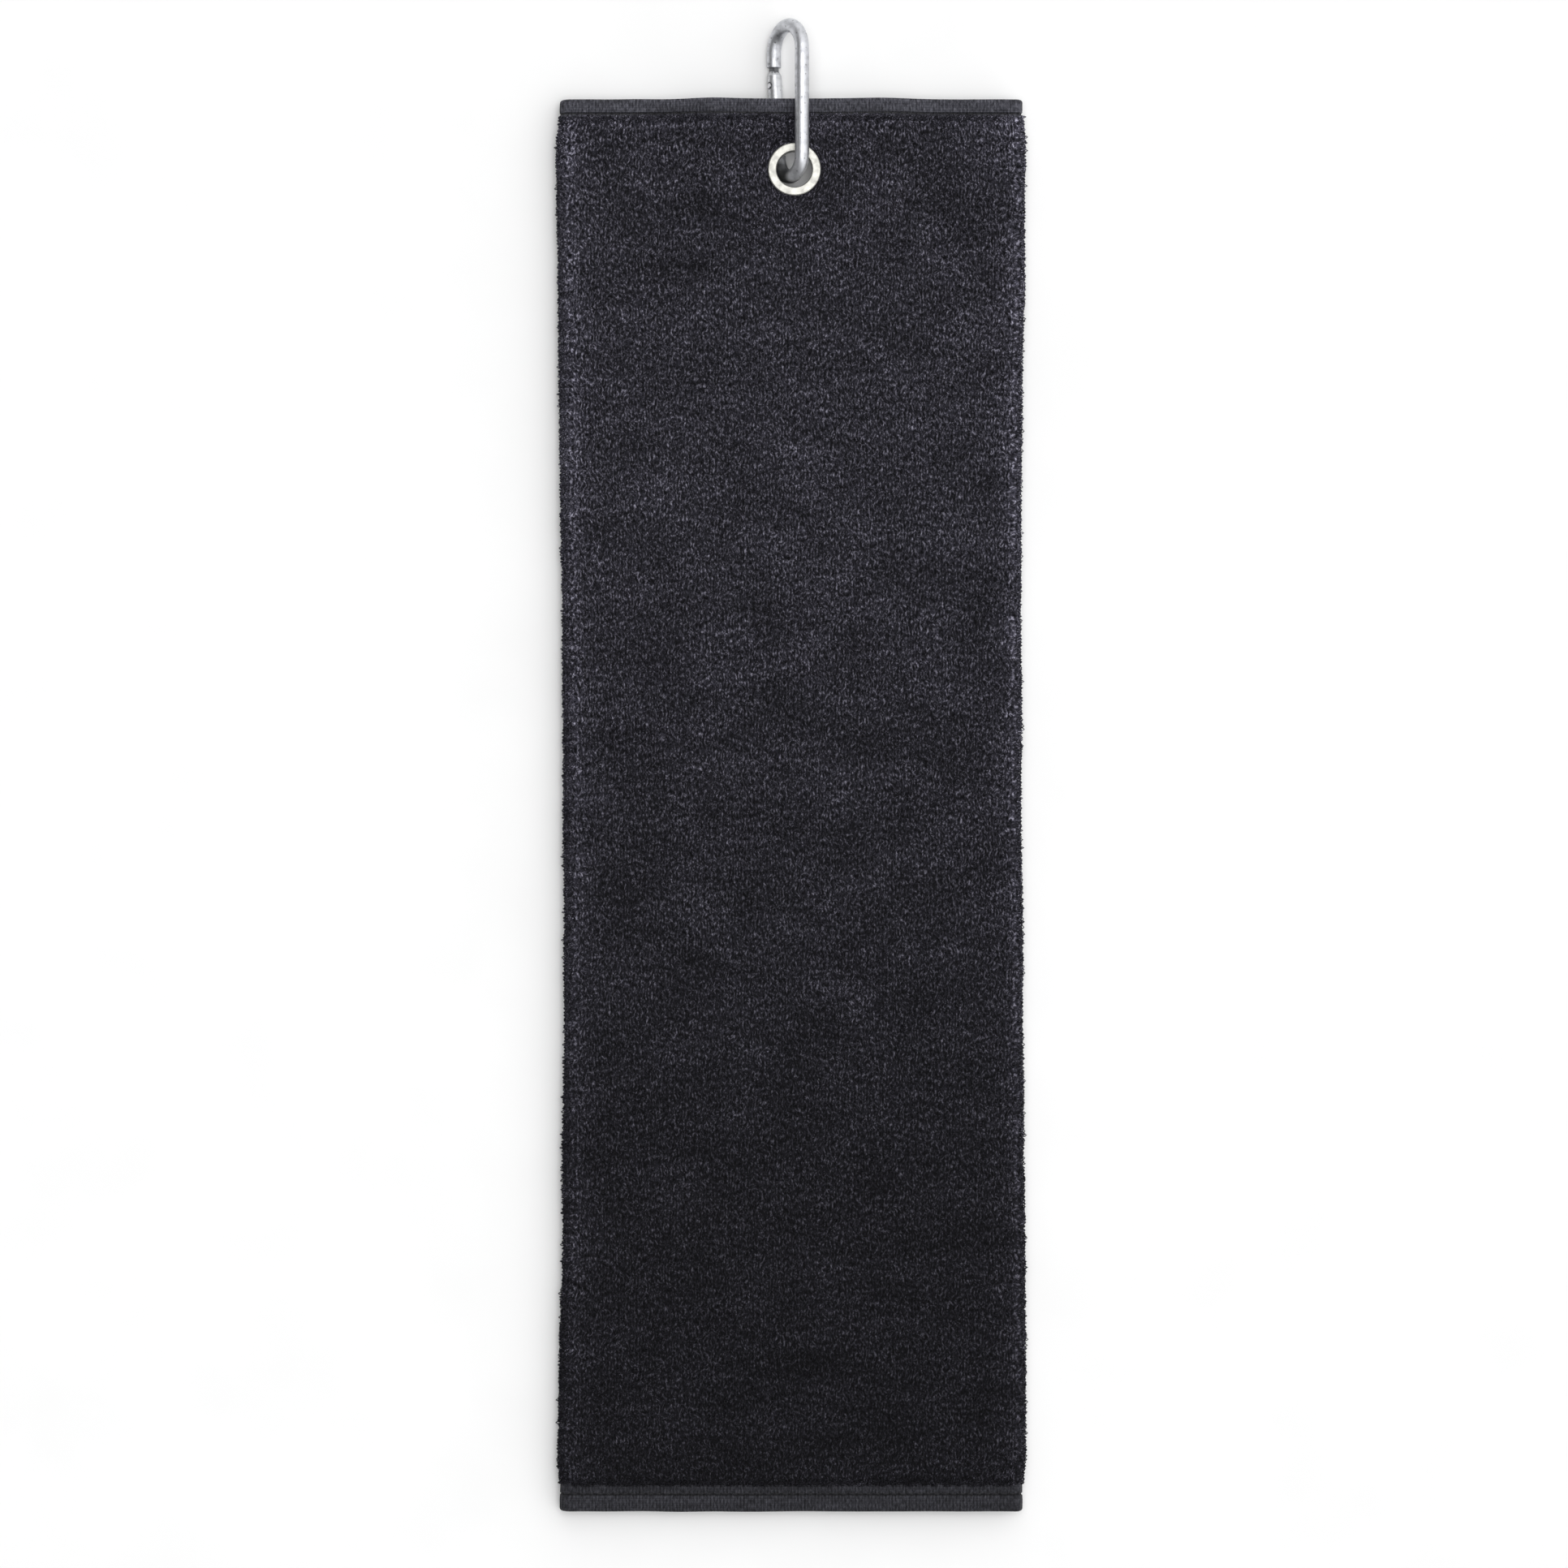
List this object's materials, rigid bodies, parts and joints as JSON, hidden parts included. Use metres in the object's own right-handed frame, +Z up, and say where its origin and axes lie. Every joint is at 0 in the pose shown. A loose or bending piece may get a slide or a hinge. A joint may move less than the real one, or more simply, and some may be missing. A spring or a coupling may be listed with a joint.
{
  "type": "golf towel",
  "caption": "Black terry golf towel folded in three, with an eyelet through its layers and a snap clip for hanging it on a golf bag.",
  "frame": {"origin": "middle of the whole object's footprint, on the surface that the folded towel lies on", "axes": "+Y up the towel towards the clip's crown, +Z up from the surface to the face that is seen, +X to the right"},
  "size_m": [0.1656, 0.5286, 0.02],
  "materials": {
    "terry": "matt terry pile",
    "hem_weave": "matt ribbed weave",
    "hem_thread": "matt sewing thread",
    "eyelet_nickel": "bright nickel plate",
    "clip_aluminium": "tumbled satin",
    "gate_aluminium": "tumbled satin",
    "pin_steel": "machined",
    "spring_steel": "drawn wire"
  },
  "bodies": {
    "towel_upper": {"middle_panel_upper": "terry", "middle_top_hem": "hem_weave", "inner_panel_upper": "terry", "inner_top_hem": "hem_weave", "inner_side_hem_upper": "hem_weave", "outer_panel_upper": "terry", "outer_top_hem": "hem_weave", "outer_side_hem_upper": "hem_weave", "left_fold_upper": "terry", "right_fold_upper": "terry", "top_hem_thread": "hem_thread", "eyelet": "eyelet_nickel", "eyelet_washer": "eyelet_nickel"},
    "towel_lower": {"middle_panel_lower": "terry", "middle_bottom_hem": "hem_weave", "inner_panel_lower": "terry", "inner_bottom_hem": "hem_weave", "inner_side_hem_lower": "hem_weave", "outer_panel_lower": "terry", "outer_bottom_hem": "hem_weave", "outer_side_hem_lower": "hem_weave", "left_fold_lower": "terry", "right_fold_lower": "terry", "bottom_hem_thread": "hem_thread"},
    "clip": {"clip_frame": "clip_aluminium", "gate_rivet": "pin_steel"},
    "gate_arm": {"gate": "gate_aluminium", "latch_pin": "pin_steel", "spring_plunger": "pin_steel", "gate_spring": "spring_steel"}
  },
  "joints": [
    {"name": "towel_fold", "type": "hinge", "parent": "towel_upper", "child": "towel_lower", "pos_m": [0, -0.01435, 0.0094], "axis": [-1, 0, 0], "range_deg": [0, 165]},
    {"name": "clip_swing", "type": "hinge", "parent": "towel_upper", "child": "clip", "pos_m": [0.0012, 0.21065, 0.0113], "axis": [0, 0, 1], "range_deg": [-30, 30]},
    {"name": "gate_hinge", "type": "hinge", "parent": "clip", "child": "gate_arm", "pos_m": [-0.00436, 0.21935, 0.005], "axis": [0.8348, 0, -0.5505], "range_deg": [0, 16], "stiffness_Nm_per_rad": 0.05, "springref_deg": -28.65}
  ]
}
